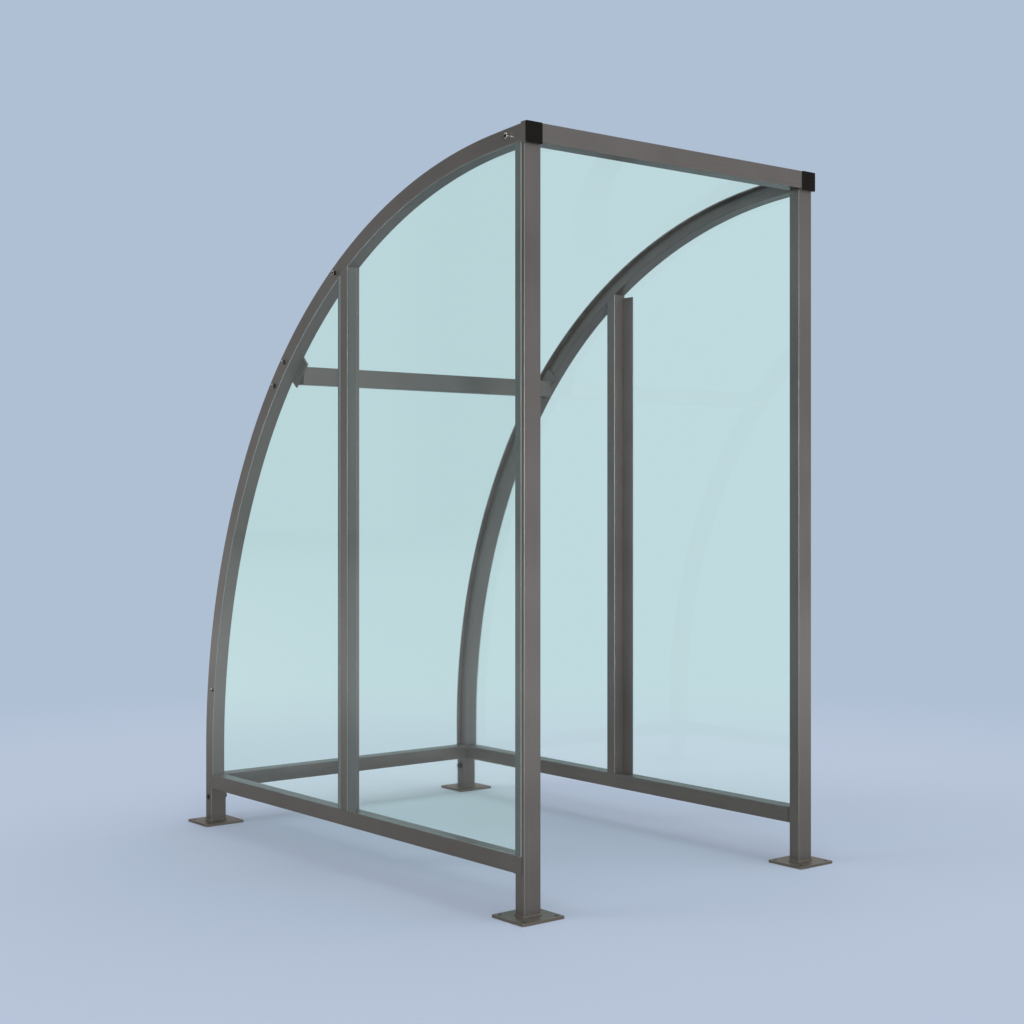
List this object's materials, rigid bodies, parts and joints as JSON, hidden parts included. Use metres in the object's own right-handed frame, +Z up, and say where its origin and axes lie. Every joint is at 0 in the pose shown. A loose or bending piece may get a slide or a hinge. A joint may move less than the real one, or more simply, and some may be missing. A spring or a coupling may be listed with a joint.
{
  "type": "bicycle shelter",
  "caption": "Open-front bicycle shelter: a quarter-round frame of square tube on bolt-down feet, glazed with clear sheets on the roof, back and sides.",
  "frame": {"origin": "on the ground, at the middle of the footprint of the foot plates", "axes": "+Z up; the open front faces -Y and the arched back +Y; +X runs along the front, from the left side to the right side seen from the front"},
  "size_m": [1.28, 1.91, 2.2],
  "materials": {
    "frame_metal": "satin warm-grey metallic coating on steel tube",
    "cap_plastic": "black moulded plastic, fine satin grain",
    "clear_sheet": "clear sheet with a faint sea-green tint, polished, deeper green at its edges",
    "seating_strip": "satin grey coated strip"
  },
  "bodies": {
    "root": {"post_left": "frame_metal", "post_right": "frame_metal", "base_plate_front_left": "frame_metal", "base_plate_front_right": "frame_metal", "base_plate_rear_left": "frame_metal", "base_plate_rear_right": "frame_metal", "rear_leg_left": "frame_metal", "rear_leg_right": "frame_metal", "arch_left": "frame_metal", "arch_right": "frame_metal", "front_beam": "frame_metal", "beam_sleeve_left": "frame_metal", "beam_sleeve_right": "frame_metal", "beam_cap_left": "cap_plastic", "beam_cap_right": "cap_plastic", "bottom_rail_left": "frame_metal", "bottom_rail_right": "frame_metal", "bottom_rail_rear": "frame_metal", "rail_lug_left": "frame_metal", "rail_lug_right": "frame_metal", "mullion_left": "frame_metal", "mullion_right": "frame_metal", "cross_rail": "frame_metal", "cross_bracket_left": "frame_metal", "cross_bracket_right": "frame_metal", "side_pane_front_left": "clear_sheet", "side_pane_front_right": "clear_sheet", "side_pane_rear_left": "clear_sheet", "side_pane_rear_right": "clear_sheet", "roof_sheet": "clear_sheet", "back_sheet": "clear_sheet", "sheet_joint": "frame_metal", "seating_strip_left": "seating_strip", "seating_strip_right": "seating_strip"}
  },
  "joints": []
}
